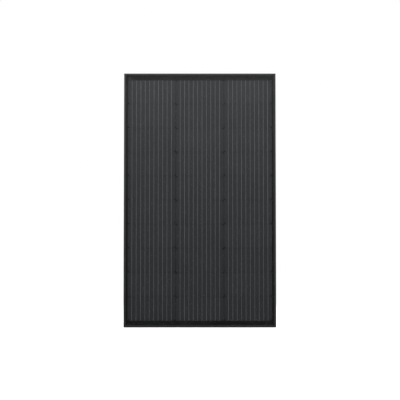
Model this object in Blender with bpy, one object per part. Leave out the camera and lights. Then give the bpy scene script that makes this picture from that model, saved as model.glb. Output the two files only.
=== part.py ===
"""A framed solar panel of thirty half-cut cells, built piece by piece.

Run it with: blender --background --python part.py

Metres, +Z up. The panel stands upright and its glass faces -Y. The origin is the middle of the
frame's rear plane, so every piece lies at y <= 0. Only the junction box's lid moves: it swings
about the x axis, on the hinge along the lid's upper edge.
"""

from math import asin, atan2, cos, hypot, pi, radians, sin, sqrt

import bmesh
import bpy

MM = 0.001

# ---------------------------------------------------------------- driving sizes

PANEL_W = 580 * MM
PANEL_H = 970 * MM
FRAME_D = 30 * MM

FIT = 0.05 * MM  # between flat faces that lie on each other
GAP = 0.3 * MM  # between other neighbours
SOLDER = 0.02 * MM  # between a ribbon and the bus that it is soldered to

# Frame extrusion
WALL = 1.4 * MM
LIP_W = 7.5 * MM
LIP_T = 1.6 * MM
LEDGE_W = 10.5 * MM
CHAMBER_D = 8 * MM
FLANGE_W = 25 * MM
FLANGE_T = 1.6 * MM
EDGE_R = 0.8 * MM
MITRE_GAP = 0.3 * MM

# Holes in the frame's rear flanges
MOUNT_SLOT_L = 14 * MM
MOUNT_SLOT_W = 9 * MM
MOUNT_SPANS = (400 * MM, 700 * MM)  # apart, in pairs about the middle of each long side
EARTH_HOLE_D = 4.2 * MM
EARTH_SPAN = 550 * MM
DRAIN_SLOT_L = 10 * MM
DRAIN_SLOT_W = 3.2 * MM
DRAIN_SPAN = 440 * MM

# Corner keys
KEY_ARM = 30 * MM
KEY_TOOTH = 0.5 * MM
KEY_PITCH = 3 * MM
KEY_TEETH = 6

# Edge seals
SEAL_T = 0.5 * MM
SEAL_WEB = 1.2 * MM
SEAL_SETBACK = 0.4 * MM  # behind the lip's inner edge

# Laminate
GLASS_T = 3.2 * MM
GLASS_ARRIS = 0.5 * MM
ENCAPSULANT_T = 0.4 * MM
COVER_T = 0.2 * MM
INSULATION_T = 0.2 * MM
BACKSHEET_T = 0.35 * MM

# Half cells and their ribbons
COLUMNS = 3
ROWS = 10
COLUMN_GAP = 2 * MM
ROW_GAP = 1 * MM
SIDE_INSET = 15 * MM  # from the frame's outer sides to the cells
END_INSET = 25.5 * MM  # from the frame's outer ends to the cells
CELL_T = 0.2 * MM
CELL_CHAMFER = 7.5 * MM
RIBBONS = 10
RIBBON_W = 0.6 * MM
RIBBON_T = 0.3 * MM

# Buses and leads
BUS_W = 4 * MM
BUS_SETOFF = 3 * MM
BUS_ROW_GAP = 2 * MM
COVER_OVERLAP = 0.3 * MM  # over the outer cells' edges
COVER_MARGIN = 1 * MM  # inside the laminate's edges
LEAD_JOG = 1.5 * MM
LEAD_SLOT_W = 6.5 * MM
LEAD_SLOT_H = 2.4 * MM
INSULATION_MARGIN = 6 * MM
RETURN_STRIP_MARGIN = 2 * MM

# Junction box
BOX_W = 110 * MM
BOX_H = 84 * MM
BOX_R = 7 * MM
BOX_WALL = 2.2 * MM
BOX_FLOOR = 2 * MM
BOX_FOOT = 3 * MM
BOX_FOOT_T = 1.6 * MM
BOX_BELOW_EDGE = 90 * MM
ADHESIVE_T = 0.8 * MM
ADHESIVE_W = 12 * MM
LEAD_ABOVE_MIDDLE = 22 * MM
WINDOW_H = 4 * MM

LID_T = 2 * MM
LID_SETBACK = 3 * MM
LID_EDGE = 0.8 * MM
LID_SKIRT_T = 1.4 * MM
LID_SKIRT_D = 2 * MM
LID_PANEL_INSET = 9 * MM
LID_PANEL_SINK = 0.5 * MM
GASKET_T = 1 * MM

# Lid hinge and latches
HINGE_X = 34 * MM
HINGE_RISE = 5 * MM
HINGE_SINK = 2 * MM
PIN_R = 1.5 * MM
HOOK_T = 1.6 * MM
HOOK_W = 6 * MM
ARM_W = 2.6 * MM
ARM_R = 2.4 * MM
ARM_ROOT_IN = 0.5 * MM  # the arms end this far inside the lid's edge
ARM_ROOT_UP = 0.7 * MM  # and this far inside its two faces
LATCH_X = 26 * MM
LATCH_W = 10 * MM
LATCH_T = 1.4 * MM
LATCH_D = 6 * MM
WEDGE_H = 0.2 * MM
WEDGE_D = 2 * MM

# Terminals and diodes
TERMINAL_W = 10 * MM
TERMINAL_L = 15 * MM
TERMINAL_T = 0.8 * MM
TERMINAL_TALL = 7 * MM
TERMINAL_SHORT = 4.2 * MM
DIODE_R = 3.5 * MM
DIODE_L = 9 * MM
DIODE_EDGE = 0.6 * MM
DIODE_LEAD_R = 0.6 * MM
DIODE_LEAD_SPACING = 1 * MM

# Cable glands, measured outwards from the box's side wall
GLAND_BELOW_MIDDLE = 22 * MM
GLAND_R = 5 * MM
GLAND_BORE_R = 4.1 * MM
GLAND_INSIDE = 2.5 * MM
GLAND_COLLAR = 3 * MM
GLAND_STUB = 6 * MM
GLAND_FLATS = 12 * MM
NUT_HEX_L = 5.6 * MM
NUT_DOME_L = 3 * MM
NUT_LIP_R = 4.6 * MM
CABLE_R = 3.5 * MM
SEAL_BORE_R = 3.2 * MM

ROUND_SIDES = 18
ARC_STEPS = 3

# ---------------------------------------------------------------- places that follow

LIP_REAR = -FRAME_D + LIP_T
GLASS_FRONT = LIP_REAR + SEAL_T + 2 * FIT
FRONT_ENCAPSULANT = GLASS_FRONT + GLASS_T + FIT
COVER_FRONT = FRONT_ENCAPSULANT + ENCAPSULANT_T + FIT
CELL_FRONT = COVER_FRONT + COVER_T + FIT + RIBBON_T
CELL_REAR = CELL_FRONT + CELL_T
INSULATION_FRONT = CELL_REAR + RIBBON_T + FIT
BUS_T = CELL_T - 2 * SOLDER
BUS_FRONT = CELL_FRONT + SOLDER
LEAD_FRONT = INSULATION_FRONT + INSULATION_T + FIT
REAR_ENCAPSULANT = LEAD_FRONT + BUS_T + FIT
BACKSHEET_FRONT = REAR_ENCAPSULANT + ENCAPSULANT_T + FIT
BACKSHEET_REAR = BACKSHEET_FRONT + BACKSHEET_T
LEDGE_FRONT = BACKSHEET_REAR + SEAL_T + 2 * FIT
CHAMBER_FRONT = LEDGE_FRONT + WALL
CHAMBER_REAR = CHAMBER_FRONT + CHAMBER_D

SEAL_LEG = LIP_W - WALL - FIT - SEAL_SETBACK
LAMINATE_INSET = WALL + SEAL_WEB + 2 * FIT
LAMINATE_W = PANEL_W - 2 * LAMINATE_INSET
LAMINATE_H = PANEL_H - 2 * LAMINATE_INSET

FIELD_H = PANEL_H - 2 * END_INSET
CELL_W = (PANEL_W - 2 * SIDE_INSET - (COLUMNS - 1) * COLUMN_GAP) / COLUMNS
CELL_H = (FIELD_H - (ROWS - 1) * ROW_GAP) / ROWS
RIBBON_PITCH = (CELL_W + COLUMN_GAP) / (RIBBONS + 1)
LEAD_PITCH = 2 * RIBBON_PITCH  # leads run midway between ribbons

# Two rows of bus run above the cells, and below them as well
BUS_ROW_1 = FIELD_H / 2 + BUS_SETOFF
BUS_ROW_2 = BUS_ROW_1 + BUS_W + BUS_ROW_GAP

BOX_TOP = PANEL_H / 2 - BOX_BELOW_EDGE
BOX_Z = BOX_TOP - BOX_H / 2
BOX_BOTTOM = BOX_TOP - BOX_H
LEAD_Z = BOX_Z + LEAD_ABOVE_MIDDLE
ADHESIVE_FRONT = BACKSHEET_REAR + FIT
BOX_FRONT = ADHESIVE_FRONT + ADHESIVE_T + FIT
FLOOR_REAR = BOX_FRONT + BOX_FLOOR
LID_REAR = -LID_SETBACK
LID_FRONT = LID_REAR - LID_T
RIM = LID_FRONT - GASKET_T - 2 * FIT
HINGE_Y = RIM - HINGE_SINK
HINGE_Z = BOX_TOP + HINGE_RISE
GLAND_Y = (FLOOR_REAR + LID_FRONT - LID_SKIRT_D) / 2
GLAND_Z = BOX_Z - GLAND_BELOW_MIDDLE

# ---------------------------------------------------------------- materials

FINISHES = {
    # name: (colour, roughness, metallic)
    "black_anodised": ((0.042, 0.042, 0.044), 0.45, 0.6),
    "cast_aluminium": ((0.45, 0.45, 0.46), 0.5, 1.0),
    "sealant": ((0.01, 0.01, 0.01), 0.6, 0.0),
    "glass": ((0.85, 0.9, 0.9), 0.05, 0.0),
    "encapsulant": ((0.7, 0.72, 0.72), 0.3, 0.0),
    "silicon": ((0.033, 0.035, 0.042), 0.35, 0.1),
    "black_film": ((0.013, 0.013, 0.014), 0.5, 0.0),
    "tinned_copper": ((0.55, 0.55, 0.55), 0.35, 1.0),
    "black_plastic": ((0.02, 0.02, 0.021), 0.5, 0.0),
    "black_rubber": ((0.012, 0.012, 0.012), 0.75, 0.0),
    "diode_resin": ((0.015, 0.015, 0.016), 0.4, 0.0),
}


def finish(name):
    """The named finish as a Principled material, made once."""
    if name in bpy.data.materials:
        return bpy.data.materials[name]
    colour, roughness, metallic = FINISHES[name]
    made = bpy.data.materials.new(name)
    made.use_nodes = True
    shader = made.node_tree.nodes["Principled BSDF"]
    shader.inputs["Base Color"].default_value = (*colour, 1)
    shader.inputs["Roughness"].default_value = roughness
    shader.inputs["Metallic"].default_value = metallic
    return made


# ---------------------------------------------------------------- building helpers


def add_object(name, mesh, finish_name):
    """Put a mesh in the scene as a named object with its finish."""
    piece = bpy.data.objects.new(name, mesh)
    piece.data.materials.clear()
    piece.data.materials.append(finish(finish_name))
    bpy.context.collection.objects.link(piece)
    return piece


def mesh_from(name, bm):
    """Turn a bmesh into a mesh whose faces point out."""
    bmesh.ops.recalc_face_normals(bm, faces=bm.faces)
    mesh = bpy.data.meshes.new(name)
    bm.to_mesh(mesh)
    bm.free()
    return mesh


def add_prism(bm, outline, holes, place):
    """Add a straight piece to bm: 2D outlines carried to both ends by place(a, b, end)."""
    ends = ([], [])
    for ring in [outline, *holes]:
        loops = [[bm.verts.new(place(a, b, end)) for a, b in ring] for end in (0, 1)]
        for end in (0, 1):
            for i in range(len(ring)):
                ends[end].append(bm.edges.new((loops[end][i - 1], loops[end][i])))
        for i in range(len(ring)):
            bm.faces.new((loops[0][i - 1], loops[0][i], loops[1][i], loops[1][i - 1]))
    for edges in ends:
        bmesh.ops.triangle_fill(bm, edges=edges, use_beauty=True)


def prism(name, finish_name, outline, place, holes=()):
    """One straight piece of constant section, with holes along it."""
    bm = bmesh.new()
    add_prism(bm, outline, holes, place)
    return add_object(name, mesh_from(name, bm), finish_name)


def upright(front, thickness):
    """A place for outlines drawn in x and z: a sheet from front towards the rear."""
    return lambda x, z, end: (x, front + end * thickness, z)


def across(left, right):
    """A place for outlines drawn in y and z: a section carried along x."""
    return lambda y, z, end: (right if end else left, y, z)


def loft(name, finish_name, rings, closed=False):
    """Skin rings of equal length. Open rows get end caps, a closed row is a ring with a bore."""
    bm = bmesh.new()
    rows = [[bm.verts.new(point) for point in ring] for ring in rings]
    for a in range(0 if closed else 1, len(rows)):
        before, after = rows[a - 1], rows[a]
        for i in range(len(after)):
            bm.faces.new((before[i - 1], before[i], after[i], after[i - 1]))
    if not closed:
        bm.faces.new(rows[0])
        bm.faces.new(rows[-1])
    return add_object(name, mesh_from(name, bm), finish_name)


def smooth(piece, angle=35):
    """Shade a round piece smooth, with its real edges kept sharp."""
    piece.data.shade_smooth()
    piece.data.set_sharp_from_angle(angle=radians(angle))
    return piece


def tool(piece):
    """Mark a piece as a tool that only shapes others."""
    piece.hide_render = True
    piece.display_type = "WIRE"
    return piece


def combine(piece, helper, operation):
    """Cut a piece by a tool, or join the tool's shape to it."""
    modifier = piece.modifiers.new(helper.name, "BOOLEAN")
    modifier.solver = "EXACT"
    modifier.operation = operation
    modifier.object = tool(helper)


def box_outline(a0, b0, a1, b1):
    return [(a0, b0), (a1, b0), (a1, b1), (a0, b1)]


def arc(centre, radius, start, end, steps):
    """Points on an arc, angles in degrees."""
    angles = [radians(start + (end - start) * i / steps) for i in range(steps + 1)]
    return [(centre[0] + radius * cos(t), centre[1] + radius * sin(t)) for t in angles]


def rounded_box(width, height, radius, middle=(0, 0)):
    """A rounded rectangle's outline, with the same number of points at any size."""
    a, b = width / 2 - radius, height / 2 - radius
    corners = ((a, b, 0), (-a, b, 90), (-a, -b, 180), (a, -b, 270))
    outline = []
    for x, z, start in corners:
        outline += arc((middle[0] + x, middle[1] + z), radius, start, start + 90, ARC_STEPS)
    return outline


def obround(length, width, middle, lengthwise_b):
    """A slot's outline: a strip with round ends, its length along b or along a."""
    half = (length - width) / 2
    turn = 90 if lengthwise_b else 0
    shift = (0, half) if lengthwise_b else (half, 0)
    ahead = (middle[0] + shift[0], middle[1] + shift[1])
    back = (middle[0] - shift[0], middle[1] - shift[1])
    steps = 2 * ARC_STEPS
    return [
        *arc(ahead, width / 2, turn - 90, turn + 90, steps),
        *arc(back, width / 2, turn + 90, turn + 270, steps),
    ]


def rounded_corner(corner, before, after, radius):
    """An arc that replaces a square corner, between the directions to its two neighbours."""
    start = (corner[0] + before[0] * radius, corner[1] + before[1] * radius)
    end = (corner[0] + after[0] * radius, corner[1] + after[1] * radius)
    middle = (start[0] + after[0] * radius, start[1] + after[1] * radius)
    halfway = atan2(corner[1] - middle[1], corner[0] - middle[0])
    crown = (middle[0] + radius * cos(halfway), middle[1] + radius * sin(halfway))
    return [start, crown, end]


# ---------------------------------------------------------------- frame

SIDES = ("left", "right", "top", "bottom")


def edge_point(side, inward, y, along):
    """A point beside one edge of the panel: inward from the edge, and along it."""
    return {
        "left": (-PANEL_W / 2 + inward, y, along),
        "right": (PANEL_W / 2 - inward, y, along),
        "top": (along, y, PANEL_H / 2 - inward),
        "bottom": (along, y, -PANEL_H / 2 + inward),
    }[side]


def mitred(side):
    """A place for sections drawn inward and in y, cut at 45 degrees at both ends."""
    half = (PANEL_H if side in ("left", "right") else PANEL_W) / 2 - MITRE_GAP / sqrt(2)

    def place(inward, y, end):
        return edge_point(side, inward, y, (1 if end else -1) * (half - inward))

    return place


def frame_section():
    """The extrusion: lip, channel for the laminate, hollow chamber and rear flange."""
    front = -FRAME_D
    outline = [
        *rounded_corner((0, front), (0, 1), (1, 0), EDGE_R),
        *rounded_corner((LIP_W, front), (-1, 0), (0, 1), EDGE_R / 2),
        (LIP_W, LIP_REAR),
        (WALL, LIP_REAR),
        (WALL, LEDGE_FRONT),
        (LEDGE_W, LEDGE_FRONT),
        *rounded_corner((LEDGE_W, CHAMBER_REAR + WALL), (0, -1), (-1, 0), EDGE_R),
        (WALL, CHAMBER_REAR + WALL),
        (WALL, -FLANGE_T),
        *rounded_corner((FLANGE_W, -FLANGE_T), (-1, 0), (0, 1), EDGE_R / 2),
        (FLANGE_W, 0),
        *rounded_corner((0, 0), (1, 0), (0, -1), EDGE_R),
    ]
    chamber = box_outline(WALL, CHAMBER_FRONT, LEDGE_W - WALL, CHAMBER_REAR)
    return outline, chamber


def flange_middle():
    return (WALL + FLANGE_W) / 2


def flange_holes(side):
    """Outlines, in x and z, of the holes through one side's rear flange."""
    inward = flange_middle()
    outlines = []
    if side in ("left", "right"):
        for span in MOUNT_SPANS:
            for along in (-span / 2, span / 2):
                x, _, z = edge_point(side, inward, 0, along)
                outlines.append(obround(MOUNT_SLOT_L, MOUNT_SLOT_W, (x, z), True))
        for along in (-EARTH_SPAN / 2, EARTH_SPAN / 2):
            x, _, z = edge_point(side, inward, 0, along)
            outlines.append(arc((x, z), EARTH_HOLE_D / 2, 30, 360, 11))
    else:
        for along in (-DRAIN_SPAN / 2, DRAIN_SPAN / 2):
            x, _, z = edge_point(side, inward, 0, along)
            outlines.append(obround(DRAIN_SLOT_L, DRAIN_SLOT_W, (x, z), False))
    return outlines


def make_frame_bar(side):
    outline, chamber = frame_section()
    bar = prism(f"frame_{side}", "black_anodised", outline, mitred(side), [chamber])
    cutter = bmesh.new()
    for hole in flange_holes(side):
        add_prism(cutter, hole, (), upright(-2 * FLANGE_T, 3 * FLANGE_T))
    name = f"flange_cutter_{side}"
    combine(bar, add_object(name, mesh_from(name, cutter), "black_anodised"), "DIFFERENCE")


def key_outline():
    """An L with saw teeth along its outer edges, measured inward from the panel's two edges."""
    outer = WALL + GAP
    inner = LEDGE_W - WALL - GAP
    first = KEY_ARM - KEY_TEETH * KEY_PITCH
    teeth = []
    for i in range(KEY_TEETH):
        root = first + i * KEY_PITCH
        teeth += [(root, outer), (root, outer + KEY_TOOTH)]
    along_a = [(outer, outer), *teeth, (KEY_ARM, outer), (KEY_ARM, inner)]
    along_b = [(b, a) for a, b in reversed(along_a[1:])]
    return [*along_a, (inner, inner), *along_b]


def make_corner_key(vertical, horizontal):
    across_sign = -1 if horizontal == "left" else 1
    up_sign = 1 if vertical == "top" else -1
    front = CHAMBER_FRONT + GAP
    depth = CHAMBER_D - 2 * GAP

    def place(a, b, end):
        x = across_sign * (PANEL_W / 2 - a)
        z = up_sign * (PANEL_H / 2 - b)
        return (x, front + end * depth, z)

    prism(f"corner_key_{vertical}_{horizontal}", "cast_aluminium", key_outline(), place)


def make_edge_seal(side):
    """A U that wraps the laminate's edge inside the frame's channel."""
    inner = WALL + FIT
    front, rear = LIP_REAR + FIT, LEDGE_FRONT - FIT
    outline = [
        (inner, front),
        (inner + SEAL_LEG, front),
        (inner + SEAL_LEG, front + SEAL_T),
        (inner + SEAL_WEB, front + SEAL_T),
        (inner + SEAL_WEB, rear - SEAL_T),
        (inner + SEAL_LEG, rear - SEAL_T),
        (inner + SEAL_LEG, rear),
        (inner, rear),
    ]
    prism(f"edge_seal_{side}", "sealant", outline, mitred(side))


# ---------------------------------------------------------------- laminate sheets


def lead_xs():
    return (-LEAD_PITCH, 0, LEAD_PITCH)


def lead_slots():
    """The holes that the three leads pass through, in the sheets behind the cells."""
    half_w, half_h = LEAD_SLOT_W / 2, LEAD_SLOT_H / 2
    return [box_outline(x - half_w, LEAD_Z - half_h, x + half_w, LEAD_Z + half_h) for x in lead_xs()]


def make_sheet(name, finish_name, front, thickness, holes=()):
    """A sheet over the laminate's whole area."""
    half_w, half_h = LAMINATE_W / 2, LAMINATE_H / 2
    outline = box_outline(-half_w, -half_h, half_w, half_h)
    return prism(name, finish_name, outline, upright(front, thickness), holes)


def make_sheets():
    glass = make_sheet("front_glass", "glass", GLASS_FRONT, GLASS_T)
    arris = glass.modifiers.new("arris", "BEVEL")
    arris.width = GLASS_ARRIS
    arris.segments = 1
    arris.limit_method = "ANGLE"
    make_sheet("front_encapsulant", "encapsulant", FRONT_ENCAPSULANT, ENCAPSULANT_T)
    slots = lead_slots()
    make_sheet("rear_encapsulant", "encapsulant", REAR_ENCAPSULANT, ENCAPSULANT_T, slots)
    make_sheet("backsheet", "black_film", BACKSHEET_FRONT, BACKSHEET_T, slots)


# ---------------------------------------------------------------- cell strings


def ribbon_x(ribbon):
    return (ribbon - (RIBBONS - 1) / 2) * RIBBON_PITCH


class StringMesh:
    """One string about its own middle: half cells joined by ribbons in one closed mesh.

    Each ribbon is a three-sided strip. It lies on the front of its cell, bends back through the
    gap below, and runs on behind the next cell, so the cells are in series.
    """

    def __init__(self):
        self.bm = bmesh.new()

    def vert(self, x, y, z):
        return self.bm.verts.new((x, y, z))

    def face(self, *verts):
        self.bm.faces.new(verts)

    def section(self, ribbon, z, front):
        """A ribbon's section at height z: left foot, crest, right foot."""
        x = ribbon_x(ribbon)
        foot = CELL_FRONT if front else CELL_REAR
        crest = foot - RIBBON_T if front else foot + RIBBON_T
        return (
            self.vert(x - RIBBON_W / 2, foot, z),
            self.vert(x, crest, z),
            self.vert(x + RIBBON_W / 2, foot, z),
        )

    def strip(self, upper, lower):
        """A ribbon's two slopes between two of its sections."""
        for a in (0, 1):
            self.face(upper[a], upper[a + 1], lower[a + 1], lower[a])

    def cell_side(self, top, bottom, front):
        """One side of a cell. Returns its ribbons' sections and its rim, from top left round."""
        y = CELL_FRONT if front else CELL_REAR
        half, cut = CELL_W / 2, CELL_CHAMFER
        uppers = [self.section(i, top, front) for i in range(RIBBONS)]
        lowers = [self.section(i, bottom, front) for i in range(RIBBONS)]
        left = [self.vert(-half, y, top), self.vert(-half, y, bottom + cut)]
        left.append(self.vert(-half + cut, y, bottom))
        right = [self.vert(half, y, top), self.vert(half, y, bottom + cut)]
        right.append(self.vert(half - cut, y, bottom))
        self.face(*left, lowers[0][0], uppers[0][0])
        self.face(*right, lowers[-1][2], uppers[-1][2])
        for i in range(RIBBONS):
            self.strip(uppers[i], lowers[i])
            if i:
                self.face(uppers[i - 1][2], uppers[i][0], lowers[i][0], lowers[i - 1][2])
        top_feet = [foot for s in uppers for foot in (s[0], s[2])]
        bottom_feet = [foot for s in reversed(lowers) for foot in (s[2], s[0])]
        rim = [left[0], *top_feet, *right, *bottom_feet, left[2], left[1]]
        return uppers, lowers, rim

    def link(self, above, below):
        """The bend from a section on one cell's front to a section on the next one's rear."""
        left, crest, right = above
        next_left, next_crest, next_right = below
        self.face(crest, next_left, next_right)
        self.face(left, next_crest, right)
        self.face(left, crest, next_left)
        self.face(left, next_left, next_crest)
        self.face(right, next_right, crest)
        self.face(right, next_crest, next_right)

    def tail(self, section, z):
        """The end of a ribbon that leaves the string, to be soldered to a bus."""
        far = [self.vert(v.co.x, v.co.y, z) for v in section]
        self.strip(section, far)
        self.face(section[0], section[2], far[2], far[0])
        self.face(*far)

    def build(self):
        reach = BUS_SETOFF + BUS_W
        above = None
        for row in range(ROWS):
            top = FIELD_H / 2 - row * (CELL_H + ROW_GAP)
            bottom = top - CELL_H
            front_uppers, front_lowers, front_rim = self.cell_side(top, bottom, True)
            rear_uppers, rear_lowers, rear_rim = self.cell_side(top, bottom, False)
            for i in range(len(front_rim)):
                self.face(front_rim[i - 1], front_rim[i], rear_rim[i], rear_rim[i - 1])
            for i in range(RIBBONS):
                self.face(*front_uppers[i])
                self.face(*rear_lowers[i])
                if above:
                    self.link(above[i], rear_uppers[i])
                else:
                    self.tail(rear_uppers[i], top + reach)
            above = front_lowers
        for section in above:
            self.tail(section, bottom - reach)
        return mesh_from("string", self.bm)


def string_x(column):
    return (column - (COLUMNS - 1) / 2) * (CELL_W + COLUMN_GAP)


def make_strings():
    """Three strings. The middle one is turned half round, so that the current runs back."""
    mesh = StringMesh().build()
    for column in range(COLUMNS):
        string = add_object(f"cell_string_{column + 1}", mesh, "silicon")
        string.location.x = string_x(column)
        if column % 2:
            # A half turn about y swaps the ends and keeps the front in front.
            string.rotation_euler.y = pi


# ---------------------------------------------------------------- buses, covers and leads


def half_turned(outline):
    return [(-x, -z) for x, z in outline]


def make_buses():
    """Two buses each join two strings. Two more step up to the outer row, to reach a lead."""
    first = ribbon_x(0) - BUS_W / 2
    last = ribbon_x(RIBBONS - 1) + BUS_W / 2
    joining = box_outline(string_x(1) + first, BUS_ROW_1, string_x(2) + last, BUS_ROW_1 + BUS_W)
    near, far = string_x(0) + first, string_x(0) + last
    end = -LEAD_PITCH + BUS_W / 2
    stepped = [
        (near, BUS_ROW_1),
        (far, BUS_ROW_1),
        (far, BUS_ROW_2),
        (end, BUS_ROW_2),
        (end, BUS_ROW_2 + BUS_W),
        (far - BUS_W, BUS_ROW_2 + BUS_W),
        (far - BUS_W, BUS_ROW_1 + BUS_W),
        (near, BUS_ROW_1 + BUS_W),
    ]
    place = upright(BUS_FRONT, BUS_T)
    prism("bus_top_left", "tinned_copper", stepped, place)
    prism("bus_top_right", "tinned_copper", joining, place)
    prism("bus_bottom_left", "tinned_copper", half_turned(joining), place)
    prism("bus_bottom_right", "tinned_copper", half_turned(stepped), place)


def make_bus_covers():
    half = LAMINATE_W / 2 - COVER_MARGIN
    inner = FIELD_H / 2 - COVER_OVERLAP
    outer = LAMINATE_H / 2 - COVER_MARGIN
    outline = box_outline(-half, inner, half, outer)
    place = upright(COVER_FRONT, COVER_T)
    prism("bus_cover_top", "black_film", outline, place)
    prism("bus_cover_bottom", "black_film", half_turned(outline), place)


def bent_strip(path, thickness):
    """The outline of a strip of even thickness, bent along the middle line given."""
    sides = ([], [])
    for i, (y, z) in enumerate(path):
        before = path[max(i - 1, 0)]
        after = path[min(i + 1, len(path) - 1)]
        normals = []
        for start, end in ((before, (y, z)), ((y, z), after)):
            length = hypot(end[0] - start[0], end[1] - start[1])
            if length:
                normals.append(((start[1] - end[1]) / length, (end[0] - start[0]) / length))
        ny = sum(n[0] for n in normals) / len(normals)
        nz = sum(n[1] for n in normals) / len(normals)
        reach = thickness / 2 / (ny * ny + nz * nz)
        sides[0].append((y + ny * reach, z + nz * reach))
        sides[1].append((y - ny * reach, z - nz * reach))
    return sides[0] + sides[1][::-1]


def make_lead(name, x, start, edge):
    """A lead from a bus at height start, stepped back behind the cells, to its terminal."""
    inward = -1 if start > 0 else 1
    near = CELL_REAR + BUS_T / 2
    behind = LEAD_FRONT + BUS_T / 2
    step = edge + inward * FIT
    path = [
        (near, start),
        (near, step),
        (behind, step + inward * LEAD_JOG),
        (behind, LEAD_Z),
        (FLOOR_REAR + TERMINAL_TALL, LEAD_Z),
    ]
    outline = bent_strip(path, BUS_T)
    prism(name, "tinned_copper", outline, across(x - BUS_W / 2, x + BUS_W / 2))


def make_leads():
    left, middle, right = lead_xs()
    make_lead("lead_positive", left, BUS_ROW_2 + BUS_W, BUS_ROW_2)
    make_lead("lead_middle", middle, BUS_ROW_1 + BUS_W, BUS_ROW_1)
    make_lead("lead_return", right, -BUS_ROW_2 - BUS_W, -BUS_ROW_2)


def make_insulation():
    """A sheet behind the cells round the leads, and a strip under the long return lead."""
    half = LEAD_PITCH + BUS_W / 2 + INSULATION_MARGIN
    sheet_bottom = LEAD_Z - INSULATION_MARGIN
    outline = box_outline(-half, sheet_bottom, half, FIELD_H / 2)
    place = upright(INSULATION_FRONT, INSULATION_T)
    prism("insulating_sheet", "black_film", outline, place)
    left = LEAD_PITCH - BUS_W / 2 - RETURN_STRIP_MARGIN
    right = LEAD_PITCH + BUS_W / 2 + RETURN_STRIP_MARGIN
    strip = box_outline(left, -FIELD_H / 2, right, sheet_bottom - GAP)
    prism("return_insulator", "black_film", strip, place)


# ---------------------------------------------------------------- junction box


def box_ring(inset, y):
    """The box's rounded outline at one depth, drawn in by inset all round."""
    radius = BOX_R - inset if BOX_R - inset > EDGE_R else EDGE_R
    outline = rounded_box(BOX_W - 2 * inset, BOX_H - 2 * inset, radius, (0, BOX_Z))
    return [(x, y, z) for x, z in outline]


def side_wall_x(sign, outward):
    return sign * (BOX_W / 2 + outward)


def side_name(sign):
    return "right" if sign > 0 else "left"


def hook_outline():
    """A C that holds the hinge pin and is open towards the rear and up."""
    middle = (HINGE_Y, HINGE_Z)
    inner = PIN_R + GAP
    return [
        *arc(middle, inner + HOOK_T, 90, 360, 3 * ARC_STEPS),
        *arc(middle, inner, 360, 90, 3 * ARC_STEPS),
    ]


def make_base():
    rings = [
        box_ring(-BOX_FOOT, BOX_FRONT),
        box_ring(-BOX_FOOT, BOX_FRONT + BOX_FOOT_T),
        box_ring(0, BOX_FRONT + BOX_FOOT_T),
        box_ring(0, RIM),
        box_ring(BOX_WALL, RIM),
        box_ring(BOX_WALL, FLOOR_REAR),
    ]
    base = loft("junction_box_base", "black_plastic", rings)

    cutter = bmesh.new()
    half = LEAD_PITCH + LEAD_SLOT_W / 2
    low = LEAD_Z - LEAD_SLOT_H / 2
    window = box_outline(-half, low, half, low + WINDOW_H)
    add_prism(cutter, window, (), upright(BOX_FRONT - GAP, BOX_FLOOR + 2 * GAP))
    bore = arc((GLAND_Y, GLAND_Z), GLAND_R + GAP, 360 / ROUND_SIDES, 360, ROUND_SIDES - 1)
    for sign in (-1, 1):
        inside = side_wall_x(sign, -BOX_WALL - GAP)
        add_prism(cutter, bore, (), across(inside, side_wall_x(sign, GAP)))
    name = "base_cutter"
    combine(base, add_object(name, mesh_from(name, cutter), "black_plastic"), "DIFFERENCE")

    for sign in (-1, 1):
        side = side_name(sign)
        left = sign * HINGE_X - HOOK_W / 2
        place = across(left, left + HOOK_W)
        hook = prism(f"base_hook_{side}", "black_plastic", hook_outline(), place)
        combine(base, hook, "UNION")
        bore_foot = HINGE_Z - PIN_R - GAP
        reach = PIN_R + GAP + HOOK_T
        low, high = BOX_TOP - BOX_WALL / 2, bore_foot - HOOK_T / 4
        foot = box_outline(HINGE_Y - reach, low, HINGE_Y + PIN_R, high)
        leg = prism(f"base_hook_leg_{side}", "black_plastic", foot, place)
        combine(base, leg, "UNION")
        wedge = [
            (RIM - WEDGE_D, BOX_BOTTOM + BOX_WALL / 2),
            (RIM - WEDGE_D, BOX_BOTTOM),
            (RIM - 2 * WEDGE_D, BOX_BOTTOM - WEDGE_H),
            (RIM - 2 * WEDGE_D, BOX_BOTTOM + BOX_WALL / 2),
        ]
        left = sign * LATCH_X - LATCH_W / 2
        place = across(left, left + LATCH_W)
        catch = prism(f"base_wedge_{side}", "black_plastic", wedge, place)
        combine(base, catch, "UNION")
    return base


def arm_outline():
    """A lid arm: it wraps the pin and tapers to the lid's upper edge."""
    root = (LID_FRONT + ARM_ROOT_UP, BOX_TOP - ARM_ROOT_IN)
    tip = (LID_REAR - ARM_ROOT_UP, BOX_TOP - ARM_ROOT_IN)
    middle = (HINGE_Y, HINGE_Z)

    def tangent(point, turn):
        away = atan2(point[1] - middle[1], point[0] - middle[0])
        distance = hypot(point[0] - middle[0], point[1] - middle[1])
        return (away + turn * (pi / 2 - asin(ARM_R / distance))) * 180 / pi

    start = tangent(tip, 1)
    end = tangent(root, -1) + 360
    return [root, tip, *arc(middle, ARM_R, start, end, 3 * ARC_STEPS)]


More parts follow.
